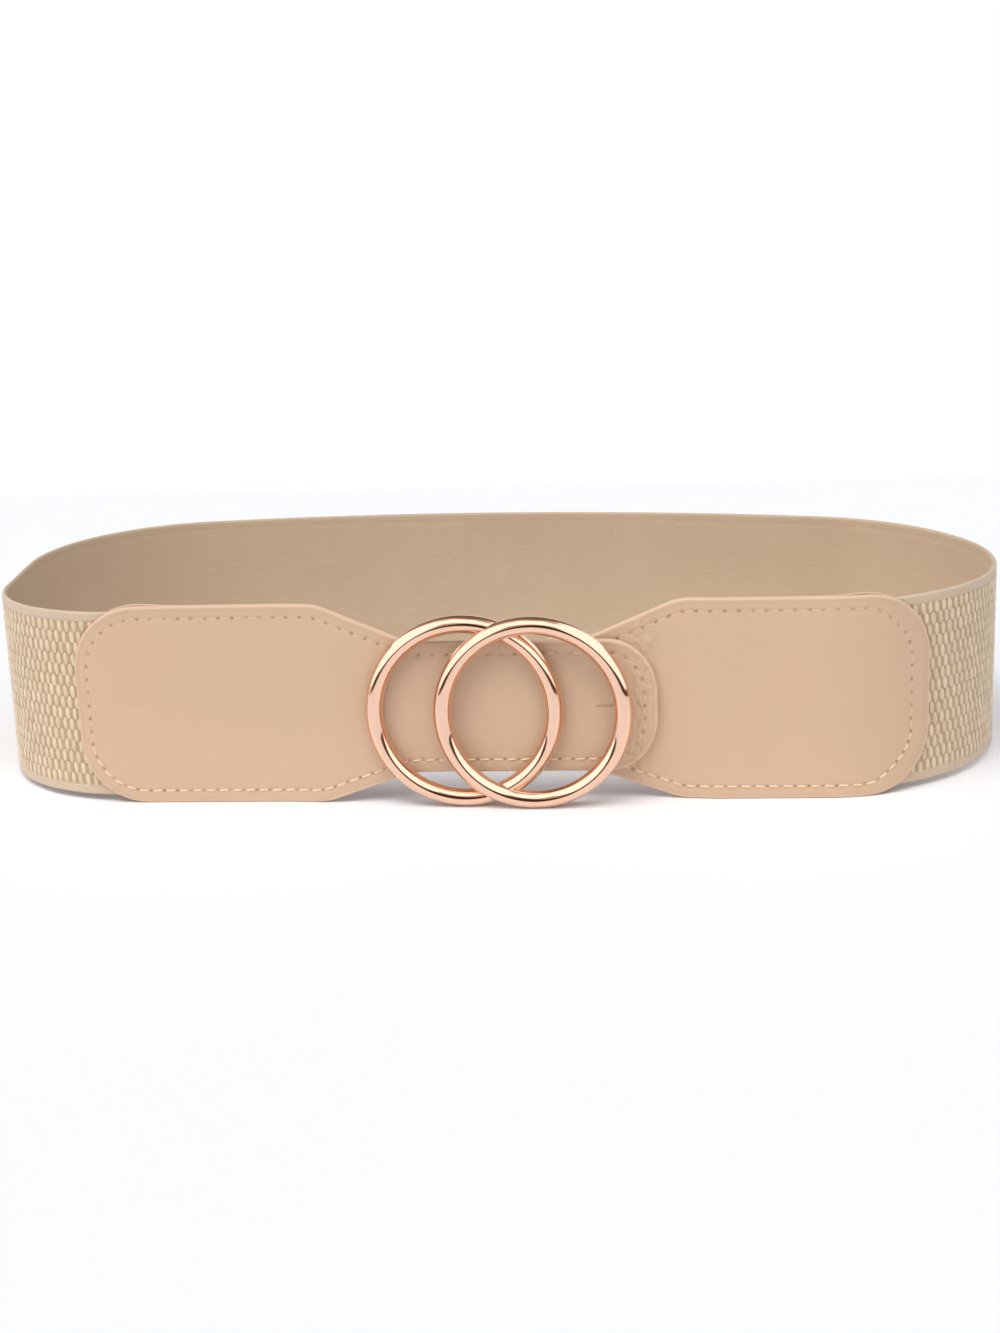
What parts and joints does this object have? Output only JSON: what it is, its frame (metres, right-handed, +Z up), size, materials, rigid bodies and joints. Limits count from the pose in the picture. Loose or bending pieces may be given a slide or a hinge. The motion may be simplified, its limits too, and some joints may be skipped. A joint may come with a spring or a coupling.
{
  "type": "elastic stretch belt with a double ring buckle",
  "caption": "Wide elastic webbing belt closed in a loop, with smooth leather ends, a rounded tongue and a rose gold buckle of crossed rings.",
  "frame": {"origin": "on the floor, under the middle of the belt's bounding box", "axes": "+X along the straight front, to the right as the buckle is seen; the buckle faces -Y; +Z up, along the webbing's width"},
  "size_m": [0.3272, 0.158, 0.0643],
  "materials": {
    "webbing": "corn-kernel elastic weave, matt cream",
    "leather": "smooth beige leather, satin, with turned and stitched edges",
    "rose_gold": "polished rose gold plating",
    "nickel": "plain nickel"
  },
  "bodies": {
    "root": {"elastic_band": "webbing", "left_patch": "leather", "right_patch": "leather", "double_ring": "rose_gold", "hidden_snap": "nickel"}
  },
  "joints": []
}
